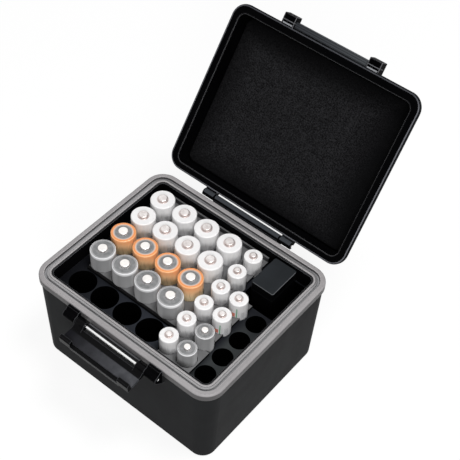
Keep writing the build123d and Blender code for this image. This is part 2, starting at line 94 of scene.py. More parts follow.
class Shader:
    """A small builder for a node material."""

    def __init__(self, name):
        self.material = bpy.data.materials.new(name)
        self.material.use_nodes = True
        self.tree = self.material.node_tree
        self.tree.nodes.clear()
        out = self.tree.nodes.new("ShaderNodeOutputMaterial")
        self.bsdf = self.tree.nodes.new("ShaderNodeBsdfPrincipled")
        self.link(self.bsdf.outputs[0], out.inputs["Surface"])
        place = self.tree.nodes.new("ShaderNodeTexCoord")
        self.coords = place.outputs["Object"]
        self.normal = place.outputs["Normal"]

    def link(self, a, b):
        self.tree.links.new(a, b)

    def feed(self, socket, value):
        """Set a socket to a number or colour, or link another node's output to it."""
        if isinstance(value, (int, float, tuple, list)):
            socket.default_value = value
        else:
            self.link(value, socket)

    def set(self, **values):
        for key, value in values.items():
            self.bsdf.inputs[key.replace("_", " ")].default_value = value

    # -- numbers --
    def math(self, operation, a, b=0.0):
        node = self.tree.nodes.new("ShaderNodeMath")
        node.operation = operation
        self.feed(node.inputs[0], a)
        self.feed(node.inputs[1], b)
        return node.outputs[0]

    def add(self, a, b):
        return self.math("ADD", a, b)

    def minus(self, a, b):
        return self.math("SUBTRACT", a, b)

    def times(self, a, b):
        return self.math("MULTIPLY", a, b)

    def larger(self, a, b):
        return self.math("MAXIMUM", a, b)

    def size(self, a):
        return self.math("ABSOLUTE", a)

    def above(self, value, limit):
        return self.math("GREATER_THAN", value, limit)

    def below(self, value, limit):
        return self.math("LESS_THAN", value, limit)

    def between(self, value, low, high):
        return self.times(self.above(value, low), self.below(value, high))

    def length(self, a, b):
        return self.math("SQRT", self.add(self.times(a, a), self.times(b, b)))

    def span(self, value, low, high, to_low=0.0, to_high=1.0):
        """Stretch the value from one range to another, held at its ends."""
        node = self.tree.nodes.new("ShaderNodeMapRange")
        node.clamp = True
        self.feed(node.inputs["Value"], value)
        for key, number in (("From Min", low), ("From Max", high), ("To Min", to_low), ("To Max", to_high)):
            node.inputs[key].default_value = number
        return node.outputs[0]

    # -- places and textures --
    def axis(self, name, vector=None):
        node = self.tree.nodes.new("ShaderNodeSeparateXYZ")
        self.link(vector if vector is not None else self.coords, node.inputs[0])
        return node.outputs[name]

    def dot(self, vector, row):
        node = self.tree.nodes.new("ShaderNodeVectorMath")
        node.operation = "DOT_PRODUCT"
        self.link(vector, node.inputs[0])
        node.inputs[1].default_value = row[:3]
        return node.outputs["Value"]

    def noise(self, scale, detail=3.0, roughness=0.55, vector=None):
        node = self.tree.nodes.new("ShaderNodeTexNoise")
        node.inputs["Scale"].default_value = scale
        node.inputs["Detail"].default_value = detail
        node.inputs["Roughness"].default_value = roughness
        self.link(vector if vector is not None else self.coords, node.inputs["Vector"])
        return node.outputs[0]

    def ridges(self, reach):
        """1 along outside edges, within the reach in millimetres, else 0; the mask of the painted edge
        highlights.
        """
        node = self.tree.nodes.new("ShaderNodeAmbientOcclusion")
        node.inside = True
        node.only_local = True
        node.samples = RIDGE_SAMPLES
        node.inputs["Distance"].default_value = reach * MM
        return self.span(node.outputs["AO"], RIDGE_SHARP, RIDGE_FLAT, 1.0, 0.0)

    def rounded(self, radius):
        """Normals that round every edge off by the radius in millimetres."""
        node = self.tree.nodes.new("ShaderNodeBevel")
        node.samples = RIDGE_SAMPLES
        node.inputs["Radius"].default_value = radius * MM
        return node.outputs[0]

    # -- looks --
    def mix(self, factor, a, b):
        node = self.tree.nodes.new("ShaderNodeMix")
        node.data_type = "RGBA"
        self.feed(node.inputs[0], factor)
        self.feed(node.inputs[6], a)
        self.feed(node.inputs[7], b)
        return node.outputs[2]

    def tinted(self, color, tint):
        """One colour multiplied by the other."""
        node = self.tree.nodes.new("ShaderNodeMix")
        node.data_type = "RGBA"
        node.blend_type = "MULTIPLY"
        node.inputs[0].default_value = 1.0
        self.link(color, node.inputs[6])
        self.link(tint, node.inputs[7])
        return node.outputs[2]

    def color(self, value):
        self.feed(self.bsdf.inputs["Base Color"], value)

    def uneven_gloss(self, pattern, smooth, rough):
        """Roughness that follows a pattern between the two values."""
        self.feed(self.bsdf.inputs["Roughness"], self.span(pattern, 0.3, 0.7, smooth, rough))

    def bump(self, height, distance, normal=None):
        """Relief of the given depth in millimetres."""
        node = self.tree.nodes.new("ShaderNodeBump")
        node.inputs["Strength"].default_value = 1.0
        node.inputs["Distance"].default_value = distance * MM
        self.link(height, node.inputs["Height"])
        if normal is not None:
            self.link(normal, node.inputs["Normal"])
        self.link(node.outputs[0], self.bsdf.inputs["Normal"])


def linear(r, g, b):
    """Colour written as 0 to 255 display values."""
    def one(v):
        v = v / 255.0
        return v / 12.92 if v <= 0.04045 else ((v + 0.055) / 1.055) ** 2.4
    return (one(r), one(g), one(b), 1.0)


def dimmer(color, share):
    return tuple(v * share for v in color[:3]) + (1.0,)


def give(material, *names):
    for name in names:
        node = NODES[name]
        node.data.materials.clear()
        node.data.materials.append(material)


# ---- surroundings ----
WORLD_LIGHT = 0.34
FLOOR_HALF = 6.0
FLOOR_TONE = 0.14
FLOOR_LIFT = 0.88
CASE_MIDDLE = (0.0, 0.0, 0.06)


def shown_rays(tree):
    """1 for camera, glossy and transmission rays, else 0."""
    path = tree.nodes.new("ShaderNodeLightPath")
    total = path.outputs["Is Camera Ray"]
    for name in ("Is Glossy Ray", "Is Transmission Ray"):
        node = tree.nodes.new("ShaderNodeMath")
        node.operation = "MAXIMUM"
        tree.links.new(total, node.inputs[0])
        tree.links.new(path.outputs[name], node.inputs[1])
        total = node.outputs[0]
    return total


def make_world():
    """White where it is seen, and a plain dim light on the part."""
    world = bpy.data.worlds.new("studio")
    scene.world = world
    world.use_nodes = True
    tree = world.node_tree
    tree.nodes.clear()
    out = tree.nodes.new("ShaderNodeOutputWorld")
    lit = tree.nodes.new("ShaderNodeBackground")
    lit.inputs["Strength"].default_value = WORLD_LIGHT
    seen = tree.nodes.new("ShaderNodeBackground")
    seen.inputs["Strength"].default_value = 1.0
    for node in (lit, seen):
        node.inputs["Color"].default_value = (1, 1, 1, 1)
    mix = tree.nodes.new("ShaderNodeMixShader")
    tree.links.new(shown_rays(tree), mix.inputs[0])
    tree.links.new(lit.outputs[0], mix.inputs[1])
    tree.links.new(seen.outputs[0], mix.inputs[2])
    tree.links.new(mix.outputs[0], out.inputs["Surface"])


def make_floor():
    """Near-white floor that shows soft shadows and throws little light back."""
    mesh = bpy.data.meshes.new("floor")
    corners = [(-FLOOR_HALF, -FLOOR_HALF, 0), (FLOOR_HALF, -FLOOR_HALF, 0),
               (FLOOR_HALF, FLOOR_HALF, 0), (-FLOOR_HALF, FLOOR_HALF, 0)]
    mesh.from_pydata(corners, [], [(0, 1, 2, 3)])
    floor = bpy.data.objects.new("floor", mesh)
    scene.collection.objects.link(floor)
    material = bpy.data.materials.new("floor")
    material.use_nodes = True
    tree = material.node_tree
    tree.nodes.clear()
    out = tree.nodes.new("ShaderNodeOutputMaterial")
    diffuse = tree.nodes.new("ShaderNodeBsdfDiffuse")
    diffuse.inputs["Color"].default_value = (FLOOR_TONE, FLOOR_TONE, FLOOR_TONE, 1)
    glow = tree.nodes.new("ShaderNodeEmission")
    tree.links.new(shown_rays(tree), glow.inputs["Strength"])
    glow.inputs["Color"].default_value = (FLOOR_LIFT, FLOOR_LIFT, FLOOR_LIFT, 1)
    both = tree.nodes.new("ShaderNodeAddShader")
    tree.links.new(diffuse.outputs[0], both.inputs[0])
    tree.links.new(glow.outputs[0], both.inputs[1])
    tree.links.new(both.outputs[0], out.inputs["Surface"])
    mesh.materials.append(material)


def make_lamp(name, place, size, power):
    """A round lamp aimed at the middle of the case."""
    data = bpy.data.lights.new(name, "AREA")
    data.shape = "DISK"
    data.size = size
    data.energy = power
    lamp = bpy.data.objects.new(name, data)
    lamp.location = place
    lamp.rotation_euler = (Vector(CASE_MIDDLE) - Vector(place)).to_track_quat("-Z", "Y").to_euler()
    scene.collection.objects.link(lamp)


make_world()
make_floor()
make_lamp("key", (0.30, 0.12, 1.30), size=0.40, power=8.2)
make_lamp("front", (0.75, -0.85, 0.75), size=0.50, power=7.0)


# ---- places on the part ----
LID_HINGE = [j for j in frame["record"]["behaviour"]["joints"] if j["name"] == "lid_hinge"][0]
HINGE_AT = Vector(LID_HINGE["pos_m"])
HINGE_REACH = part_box("hinge_pin")[1].x - 0.5 * MM
KNUCKLE_SEAM = HINGE_REACH - 8.15 * MM
KNUCKLE_SEAM_HALF = 0.55 * MM
KNUCKLE_NEAR = 2.2 * MM     # hinge axis to the knuckles' surface
KNUCKLE_FAR = 2.5 * MM

RIM_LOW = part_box("rim_frame")[0].z
RIM_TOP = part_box("rim_frame")[1].z
RIM_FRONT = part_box("rim_frame")[0].y
RIM_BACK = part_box("rim_frame")[1].y

LID_HALF_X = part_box("lid_shell")[1].x
LID_FRONT = HINGE_AT.y - 106.2 * MM         # the closed lid's flange
LID_BACK = HINGE_AT.y - 2.6 * MM
LID_HALF_Y = (LID_BACK - LID_FRONT) / 2
LID_MIDDLE = (LID_BACK + LID_FRONT) / 2
LID_CORNER = 8.8 * MM
LID_FACE = RIM_TOP + 0.3 * MM
LID_WALL_DEPTH = 4.1 * MM                   # from the flange's edge to the middle of the dome's wall
LID_FLANGE = 3.2 * MM                       # the dome starts this far above the mating face
LID_HIGHLIGHT_START = 0.55 * MM                  # painted highlight line along the mating face's edge
LID_HIGHLIGHT_END = 1.15 * MM
LID_HIGHLIGHT_HEIGHT = 1.0 * MM
LID_HIGHLIGHT_FADE = 6.0 * MM
LUG_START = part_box("latch_lever")[1].x + 0.3 * MM
LUG_EDGE = 0.6 * MM                         # the lug's foot shows inside this edge
LUG_WIDTH = 7.0 * MM
LID_REACH = 106.3 * MM                      # hinge axis to just past the lid's front edge
LUG_FOOT = 0.8 * MM                         # painted highlight on a lug's foot, past the lid's reach
LUG_LINE_START = 2.0 * MM
LUG_LINE_END = 2.5 * MM
LEDGE_LINES = 5200.0                        # fine lines along the ledge, radians a metre

LATCH_AT = sum(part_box("latch_pin"), Vector()) / 2
PANEL_START = 5.4 * MM      # latch axis to the flat panel
PANEL_SOFT = 5.9 * MM
PANEL_LEFT = -22.0 * MM
PANEL_RIGHT = 24.0 * MM
LIP_START = 11.2 * MM       # latch axis to the lip across its free end
LIP_SOFT = 0.3 * MM

PLATE_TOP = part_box("grey_plate_foot")[1].z
PLATE_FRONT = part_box("grey_plate_main")[0].y
PLATE_STRIP = 1.4 * MM      # black strip of painted shade along the plate's front edge
FOOT_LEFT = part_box("grey_plate_foot")[0].x
FOOT_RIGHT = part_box("grey_plate_foot")[1].x

BORDER_LOW, BORDER_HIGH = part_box("tray_border")
BORDER_HALF = (BORDER_HIGH - BORDER_LOW) / 2
BORDER_MIDDLE = (BORDER_HIGH + BORDER_LOW) / 2
TRAY_CORNER = 4.5 * MM
TRAY_WALL = 0.4 * MM        # how deep the tray's outer walls count as outside
FRONT_ROW_LEFT = -52.0 * MM # the tray's top grows paler from here to the next place, and less so past it
FRONT_ROW_RIGHT = 16.0 * MM
FRONT_ROW_END = 19.0 * MM
COMPARTMENT_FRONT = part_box("tray_compartment")[0].y
SOCKET_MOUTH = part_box("tray_aa_block")[1].z

CAP_LOW, CAP_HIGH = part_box("accessory_cap")
CAP_EDGE = 1.2 * MM


def closing_turn():
    """Matrix that carries the lid's pieces, as packed, to the closed lid."""
    turn = Matrix.Rotation(math.radians(LID_HINGE["range_deg"][1]), 4, Vector(LID_HINGE["axis"]))
    return Matrix.Translation(HINGE_AT) @ turn @ Matrix.Translation(-HINGE_AT)


LID_TURN = closing_turn()


def closed_place(s):
    """Y and Z of a point of the open lid once the lid is closed."""
    return [s.add(s.dot(s.coords, row), row[3]) for row in (LID_TURN[1], LID_TURN[2])]


def edge_depth(s, x, y, half_x, half_y, corner):
    """How far a point lies inside a rectangle with round corners; negative outside."""
    over_x = s.minus(s.size(x), half_x - corner)
    over_y = s.minus(s.size(y), half_y - corner)
    out = s.length(s.larger(over_x, 0.0), s.larger(over_y, 0.0))
    within = s.math("MINIMUM", s.larger(over_x, over_y), 0.0)
    return s.minus(corner, s.add(out, within))


def axis_distance(s, at):
    """Distance from an axis along X through the point."""
    return s.length(s.minus(s.axis("Y"), at.y), s.minus(s.axis("Z"), at.z))


# ---- plastics ----
GLOSS_SCALE = 120.0
GLOSS_SPREAD = 0.03
GRAIN_SCALE = 900.0
GRAIN_DEPTH = 0.012         # millimetres
DRIFT_SCALE = 35.0
DRIFT_DETAIL = 4.0
BLACK = linear(7, 7, 8)


def satin(name, rough, specular, rounding):
    """Plastic without a colour yet: fine grain, uneven gloss and rounded edges."""
    s = Shader(name)
    s.uneven_gloss(s.noise(GLOSS_SCALE), rough - GLOSS_SPREAD, rough + GLOSS_SPREAD)
    s.bump(s.noise(GRAIN_SCALE, 2.0), GRAIN_DEPTH, s.rounded(rounding) if rounding else None)
    s.set(Specular_IOR_Level=specular)
    return s


def moulded(name, dark, light, rough=0.42, specular=0.2, edge_highlight=None, highlight_reach=0.45, rounding=0.3):
    """Satin plastic with a slight drift in colour and, where an edge highlight colour is given, painted
    highlights along its edges.
    """
    s = satin(name, rough, specular, rounding)
    s.face = s.mix(s.span(s.noise(DRIFT_SCALE, DRIFT_DETAIL), 0.35, 0.65), dark, light)
    # painted highlights: outside edges are lightened towards the edge highlight colour
    if edge_highlight is not None:
        s.face = s.mix(s.ridges(highlight_reach), s.face, edge_highlight)
    s.color(s.face)
    return s


def knuckle_light_and_shade(s):
    """Painted light and shade on a knuckle: grey on its up-facing crown, black painted shade along its
    sides, its ends and the seams.
    """
    # painted light on the up-facing crown; painted shade down the sides, at the ends and at the seams
    crown = s.span(s.axis("Z", s.normal), 0.62, 0.74)
    across = s.size(s.axis("X"))
    seam_shade = s.below(s.size(s.minus(across, KNUCKLE_SEAM)), KNUCKLE_SEAM_HALF)
    seam_and_end_shade = s.add(seam_shade, s.above(across, HINGE_REACH - 0.5 * MM))
    return s.mix(seam_and_end_shade, s.mix(crown, BLACK, linear(62, 65, 69)), BLACK)


def case_plastic():
    """Black tub with painted edge highlights, painted light and shade on the hinge knuckle, darker latch
    ears with painted edge highlights, and painted light on the shelf between them.
    """
    # black tub with painted highlights along its edges
    s = moulded("case_black", linear(46, 46, 47), linear(50, 51, 52), 0.45, specular=0.008,
                edge_highlight=linear(104, 104, 106))
    behind = s.above(s.axis("Y"), RIM_BACK)
    color = s.mix(behind, s.face, knuckle_light_and_shade(s))
    ahead = s.span(s.axis("Y"), RIM_FRONT - 0.6 * MM, RIM_FRONT - 0.2 * MM, 1.0, 0.0)
    level = s.span(s.axis("Z", s.normal), 0.8, 0.95)
    # painted light on the up-facing shelf below the rim
    shelf_light = s.times(level, s.below(s.axis("Z"), RIM_LOW + 0.2 * MM))
    # latch ears: very dark, with painted highlights along their edges
    ear_with_highlights = s.mix(s.ridges(0.3), linear(6, 6, 7), linear(92, 93, 96))
    s.color(s.mix(ahead, color, s.mix(shelf_light, ear_with_highlights, linear(84, 84, 87))))
    return s.material


def lid_edge(s, color, depth, place_y, place_z):
    """A painted highlight line along the mating face's edge, dimmer at the latch, and painted light on the
    right outer side.
    """
    # painted highlight along the mating face's edge, dimmer at the latch
    line = s.between(depth, LID_HIGHLIGHT_START, LID_HIGHLIGHT_END)
    near_face = s.below(place_z, LID_FACE + LID_HIGHLIGHT_HEIGHT)
    tone = s.mix(s.span(place_y, LID_FRONT, LID_FRONT + LID_HIGHLIGHT_FADE),
                 linear(62, 63, 67), linear(104, 105, 110))
    color = s.mix(s.times(line, near_face), color, tone)
    # painted light on the right outer side
    side = s.times(s.below(depth, LID_HIGHLIGHT_START), s.above(s.axis("X"), 0.0))
    return s.mix(side, color, linear(26, 27, 29))


def lid_outside(s, color, depth, place_z):
    """The dome's outside, whose top and walls are as pale as the tub, with painted highlights along their
    edges.
    """
    top = s.span(s.dot(s.normal, LID_TURN[2]), 0.2, 0.5)
    walls = s.times(s.below(depth, LID_WALL_DEPTH), s.above(place_z, LID_FACE + LID_FLANGE))
    # painted highlights along the dome's edges
    tone = s.mix(s.ridges(0.6), linear(44, 44, 46), linear(84, 84, 87))
    return s.mix(s.larger(top, walls), color, tone)


def lid_ledge(s, color, out, mask):
    """The ledge between the lugs: painted light, brighter towards the right, with fine lines along it."""
    # painted light on the ledge, brighter towards the right
    ledge_light = s.mix(s.span(s.axis("X"), -LUG_START, LUG_START), linear(56, 58, 62), linear(78, 81, 84))
    wave = s.math("SINE", s.times(out, LEDGE_LINES))
    ledge_light = s.mix(s.span(wave, 0.0, 1.0, 0.0, 0.6), ledge_light, linear(24, 25, 27))
    return s.mix(mask, color, ledge_light)


def lid_lugs(s, color, out, across, mask):
    """The lugs: black with painted highlights along their edges, a line across each and a painted highlight
    on the foot.
    """
    line = s.between(out, LID_REACH + LUG_LINE_START, LID_REACH + LUG_LINE_END)
    inside = s.between(across, LUG_START + LUG_EDGE, LUG_START + LUG_WIDTH)
    foot = s.times(s.below(out, LID_REACH + LUG_FOOT), inside)
    # painted highlights along the lugs' edges
    edge_lit_face = s.mix(s.ridges(0.6), linear(2, 2, 3), linear(112, 112, 116))
    face = s.mix(line, edge_lit_face, linear(96, 97, 100))
    # painted highlight on each lug's foot
    face = s.mix(foot, face, linear(150, 152, 156))
    return s.mix(mask, color, face)


def lid_plastic():
    """Black lid with painted highlights along its edges, made up from its edge, its outside, its knuckles,
    its ledge and its lugs.
    """
    s = moulded("lid_black", linear(3, 3, 4), linear(5, 5, 6), specular=0.008,
                edge_highlight=linear(118, 118, 121), highlight_reach=0.6, rounding=0.4)
    out = axis_distance(s, HINGE_AT)
    across = s.size(s.axis("X"))
    place_y, place_z = closed_place(s)
    depth = edge_depth(s, s.axis("X"), s.minus(place_y, LID_MIDDLE), LID_HALF_X, LID_HALF_Y, LID_CORNER)
    color = lid_edge(s, s.face, depth, place_y, place_z)
    color = lid_outside(s, color, depth, place_z)
    knuckle = s.span(out, KNUCKLE_NEAR, KNUCKLE_FAR, 1.0, 0.0)
    color = s.mix(knuckle, color, knuckle_light_and_shade(s))
    beyond = s.above(out, LID_REACH)
    between_lugs = s.below(across, LUG_START)
    color = lid_ledge(s, color, out, s.times(beyond, between_lugs))
    s.color(lid_lugs(s, color, out, across, s.times(beyond, s.minus(1.0, between_lugs))))
    return s.material


def latch_plastic():
    """Black latch: painted light makes its panel brighter towards the right, and painted highlights run
    along the edges of its arms and lip.
    """
    s = satin("latch_black", 0.38, specular=0.06, rounding=0.3)
    blotch = s.span(s.noise(260.0), 0.3, 0.7)
    left = s.mix(blotch, linear(13, 13, 16), linear(20, 20, 25))
    right = s.mix(blotch, linear(70, 71, 75), linear(84, 85, 89))
    # painted light: the panel grows brighter towards the right
    panel = s.mix(s.span(s.axis("X"), PANEL_LEFT, PANEL_RIGHT), left, right)
    out = axis_distance(s, LATCH_AT)
    arms = s.span(out, PANEL_START, PANEL_SOFT, 1.0, 0.0)
    lip = s.span(out, LIP_START, LIP_START + LIP_SOFT)
    # painted highlights along the edges of the arms and the lip
    highlighted_edges = s.mix(s.ridges(0.3), linear(5, 5, 6), linear(66, 67, 70))
    s.color(s.mix(s.larger(arms, lip), panel, highlighted_edges))
    return s.material


def rim_plastic():
    """Light grey rim with painted highlights along its edges, painted shade darkening its upright faces,
    and of an even tone in the groove.
    """
    # light grey with painted highlights along its edges
    s = moulded("rim_grey", linear(152, 149, 150), linear(162, 159, 160), 0.45, specular=0.3,
                edge_highlight=linear(205, 202, 202), highlight_reach=0.5)
    up = s.axis("Z", s.normal)
    # painted shade down the upright faces
    color = s.mix(s.span(up, 0.15, 0.6), linear(92, 90, 91), s.face)
    sunk = s.span(s.axis("Z"), RIM_TOP - 1.5 * MM, RIM_TOP - 1.1 * MM, 1.0, 0.0)
    s.color(s.mix(s.times(sunk, s.above(up, 0.7)), color, linear(150, 150, 152)))
    return s.material


def seal_rubber():
    """Pale seal, greyer along the hinge side."""
    s = moulded("seal_grey", linear(148, 147, 148), linear(158, 157, 158), 0.6)
    behind = s.span(s.axis("Y"), RIM_BACK - 16 * MM, RIM_BACK - 8 * MM)
    s.color(s.mix(behind, s.face, linear(112, 111, 112)))
    return s.material


def plate_plastic():
    """Grey plate with a paler foot, painted shade on its side faces (lighter on the upturned part's front
    faces) and a black strip of painted shade along the front edge beside the foot.
    """
    s = moulded("plate_grey", linear(126, 126, 127), linear(138, 138, 139), 0.6, specular=0.12, rounding=0)
    # painted shade on the side faces, lighter on the upturned part's front faces
    facing_front = s.span(s.axis("Y", s.normal), -0.9, -0.6, 1.0, 0.0)
    upturned = s.times(facing_front, s.above(s.axis("Z"), PLATE_TOP + 0.05 * MM))
    edge = s.mix(upturned, linear(9, 9, 10), linear(80, 80, 82))
    # painted shade: a black strip along the front edge beside the foot
    strip_shade = s.times(s.below(s.axis("Y"), PLATE_FRONT + PLATE_STRIP), s.below(s.axis("X"), FOOT_LEFT))
    inner = s.mix(s.noise(DRIFT_SCALE, DRIFT_DETAIL), linear(102, 102, 103), linear(112, 112, 113))
    tone = s.mix(s.span(s.axis("Y"), PLATE_FRONT - 14 * MM, PLATE_FRONT - 4 * MM), s.face, inner)
    top = s.mix(strip_shade, tone, linear(5, 5, 6))
    s.color(s.mix(s.span(s.axis("Z", s.normal), 0.4, 0.7), edge, top))
    return s.material


def tray_plastic():
    """Dark tray with black sockets; its top is paler in the front row and along the right AAA column."""
    s = moulded("tray_black", linear(14, 15, 18), linear(20, 21, 25), 0.45, specular=0.06, rounding=0)
    x = s.axis("X")
    y = s.axis("Y")
    rise = s.span(x, FRONT_ROW_LEFT, FRONT_ROW_RIGHT)
    fall = s.span(x, FRONT_ROW_RIGHT, FRONT_ROW_END, 1.0, 0.2)
    color = s.mix(s.times(rise, fall), s.face, linear(50, 53, 60))
    column = s.span(x, FOOT_RIGHT - 1.0 * MM, FOOT_RIGHT + 3.0 * MM)
    ahead = s.span(y, COMPARTMENT_FRONT - 22.0 * MM, COMPARTMENT_FRONT - 1.0 * MM, 1.0, 0.0)
    color = s.mix(s.times(column, ahead), color, linear(56, 59, 60))
    inside = edge_depth(s, s.minus(x, BORDER_MIDDLE.x), s.minus(y, BORDER_MIDDLE.y),
                        BORDER_HALF.x, BORDER_HALF.y, TRAY_CORNER)
    wall = s.mix(s.below(inside, TRAY_WALL), linear(2, 2, 2), linear(38, 38, 40))
    s.color(s.mix(s.span(s.axis("Z", s.normal), 0.5, 0.8), wall, color))
    return s.material


def cap_plastic():
    """Satin block: dark grey on top with painted highlights along its front and right edges, and painted
    shade making it black down its sides.
    """
    s = moulded("block_black", linear(29, 32, 35), linear(39, 42, 46), specular=0.12)
    # painted highlights along the front and right edges, none along the back and left ones
    back = s.larger(s.above(s.axis("Y"), CAP_HIGH.y - CAP_EDGE), s.below(s.axis("X"), CAP_LOW.x + CAP_EDGE))
    line = s.times(s.ridges(0.45), s.minus(1.0, back))
    top = s.span(s.axis("Z", s.normal), 0.3, 0.8)
    side = s.mix(s.above(s.axis("Z"), CAP_HIGH.z - CAP_EDGE), linear(30, 31, 33), linear(100, 102, 105))
    # painted shade makes the sides black
    color = s.mix(top, linear(4, 4, 5), s.face)
    s.color(s.mix(line, color, s.mix(top, side, linear(112, 114, 117))))
    return s.material


give(case_plastic(), "base_shell")
give(lid_plastic(), "lid_shell")
give(latch_plastic(), "latch_lever")
give(rim_plastic(), "rim_frame")
give(tray_plastic(), *[name for name in NODES if name.startswith("tray_")])
# tray border: black, with a painted highlight along its inner top edge
give(moulded("border_black", linear(5, 5, 6), linear(7, 7, 8), 0.45, specular=0.03,
             edge_highlight=linear(120, 121, 124), highlight_reach=0.18).material, "tray_border")
give(plate_plastic(), "grey_plate_main", "grey_plate_foot")
give(cap_plastic(), "accessory_cap")
# block's foot: near black, with faint painted highlights along its edges
give(moulded("block_foot", linear(4, 4, 5), linear(7, 7, 8), specular=0.03,
             edge_highlight=linear(26, 27, 29)).material, "accessory_body")
give(seal_rubber(), "seal_ring")


# ---- metal ----
METAL_SCALE = 400.0
METAL_GLOSS_SCALE = 150.0
METAL_DEPTH = 0.004         # millimetres
METAL_ROUNDING = 0.2
PIN_METAL = (0.92, 0.92, 0.92, 1.0)


def metal_surface(s, fine, smooth, rough):
    """Bright metal's gloss and fine relief."""
    s.set(Metallic=1.0)
    s.uneven_gloss(s.noise(METAL_GLOSS_SCALE), smooth, rough)
    s.bump(fine, METAL_DEPTH, s.rounded(METAL_ROUNDING))


def pin_metal():
    """Polished steel, slightly uneven in tone."""
    s = Shader("pin_steel")
    fine = s.noise(METAL_SCALE)
    s.color(s.mix(s.span(fine, 0.3, 0.7), PIN_METAL, dimmer(PIN_METAL, 0.94)))
    metal_surface(s, fine, 0.18, 0.28)
    return s.material


give(pin_metal(), "hinge_pin", "latch_pin")


# ---- cells ----
AA_WIDTH = 14.3 * MM
AAA_WIDTH = 10.4 * MM
AAA_SHARE = AAA_WIDTH / AA_WIDTH
AAA_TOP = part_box("aaa_white_sleeves")[1].z
STREAK_SCALE = 1100.0
STREAK_STRETCH = 0.1
STREAK_TOP = 59.0 * MM      # full below, gone above the next height
STREAK_END = 64.0 * MM
STREAK_FOOT = 6.0 * MM      # how far the marks reach into the socket
PRINT_AND_LIGHT_X = 0.64              # direction of a label's printed side, in plan; the grey labels' painted light is laid out about it too
PRINT_AND_LIGHT_Y = -0.77
BAR_WAVES = 7000.0          # printed bars, radians a metre
AA_NUB = 2.75               # millimetres
AAA_NUB = 1.85
PALE_METAL = linear(246, 242, 240)
ROSE_METAL = linear(212, 202, 199)
WHITE_METAL = linear(250, 247, 243)


class Grid:
    """Places of a group of sockets, worked out from the sleeves that stand in them."""

    def __init__(self, node, diameter, columns, rows):
        low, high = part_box(node)
        self.first_x = low[0] + diameter / 2
        self.last_y = low[1] + diameter / 2
        self.pitch_x = (high[0] - low[0] - diameter) / (columns - 1)
        self.pitch_y = (high[1] - low[1] - diameter) / (rows - 1)


AA_GRID = Grid("aa_white_sleeves", AA_WIDTH, 4, 2)
AAA_GRID = Grid("aaa_white_sleeves", AAA_WIDTH, 2, 6)


class CellShader(Shader):
    """Shader that knows the place on the nearest cell: across and towards its printed side, about which the
    grey labels' painted light is also laid out, height and radius.
    """

    def __init__(self, name, grid):
        super().__init__(name)
        x = self.beside(self.axis("X"), grid.first_x, grid.pitch_x)
        y = self.beside(self.axis("Y"), grid.last_y, grid.pitch_y)
        self.turned = self.minus(self.times(x, -PRINT_AND_LIGHT_Y), self.times(y, -PRINT_AND_LIGHT_X))
        self.facing = self.add(self.times(x, PRINT_AND_LIGHT_X), self.times(y, PRINT_AND_LIGHT_Y))
        self.height = self.axis("Z")
        self.radius = self.length(x, y)

    def beside(self, value, first, pitch):
        """Distance from the nearest cell's centre."""
        steps = self.math("DIVIDE", self.minus(value, first), pitch)
        return self.times(self.minus(steps, self.math("ROUND", steps)), pitch)

    def streaks(self):
        """Uneven upright marks on a cell's side, gone at its shoulder and inside the socket."""
        node = self.tree.nodes.new("ShaderNodeCombineXYZ")
        self.link(self.turned, node.inputs[0])
        self.link(self.times(self.height, STREAK_STRETCH), node.inputs[1])
        marks = self.span(self.noise(STREAK_SCALE, 2.0, 0.6, node.outputs[0]), 0.48, 0.66)
        shown = self.times(marks, self.span(self.height, STREAK_TOP, STREAK_END, 1.0, 0.0))
        return self.times(shown, self.span(self.height, SOCKET_MOUTH - STREAK_FOOT, SOCKET_MOUTH))

    def patch(self, across, up):
        """1 on a patch of the label's printed side; both spans in millimetres."""
        beside = self.between(self.turned, across[0] * MM, across[1] * MM)
        where = self.times(beside, self.between(self.height, up[0] * MM, up[1] * MM))
        return self.times(where, self.above(self.facing, 0.0))

    def side_fade(self, top, foot, top_z, foot_z):
        """Colour that runs down a cell's side from the top tone to the foot tone."""
        return self.mix(self.span(self.height, foot_z * MM, top_z * MM), foot, top)


def finish_label(s, color, rough=0.3):
    """Film over the label: uneven tone and gloss, with a fine grain."""
    drift = s.noise(60.0, 2.0)
    tint = s.mix(s.span(drift, 0.3, 0.7), (0.96, 0.96, 0.96, 1), (1, 1, 1, 1))
    s.color(s.tinted(color, tint))
    s.uneven_gloss(drift, rough - 0.03, rough + 0.05)
    s.bump(s.noise(GRAIN_SCALE, 2.0), METAL_DEPTH)
    return s.material


def white_label(name, grid, printed):
    """White label with faint grey bars; where printed, a green line and a small red patch too."""
    s = CellShader(name, grid)
    color = s.side_fade(linear(246, 245, 245), linear(234, 234, 236), 62.0, 54.0)
    wave = s.math("SINE", s.times(s.height, BAR_WAVES))
    bars = s.times(s.patch((1.2, 3.4), (54.0, 59.5)), s.above(wave, 0.1))
    color = s.mix(s.times(bars, 0.55), color, linear(140, 140, 142))
    color = s.mix(s.times(s.streaks(), 0.3), color, linear(150, 150, 153))
    if printed:
        second = s.above(s.axis("X"), AAA_GRID.first_x + AAA_GRID.pitch_x / 2)
        line = s.times(second, s.patch((-1.3, -0.75), (40.0, 63.0)))
        color = s.mix(line, color, linear(96, 176, 130))
        dot = s.times(second, s.patch((-3.6, -1.9), (56.0, 59.0)))
        color = s.mix(dot, color, linear(226, 132, 112))
    return finish_label(s, color)


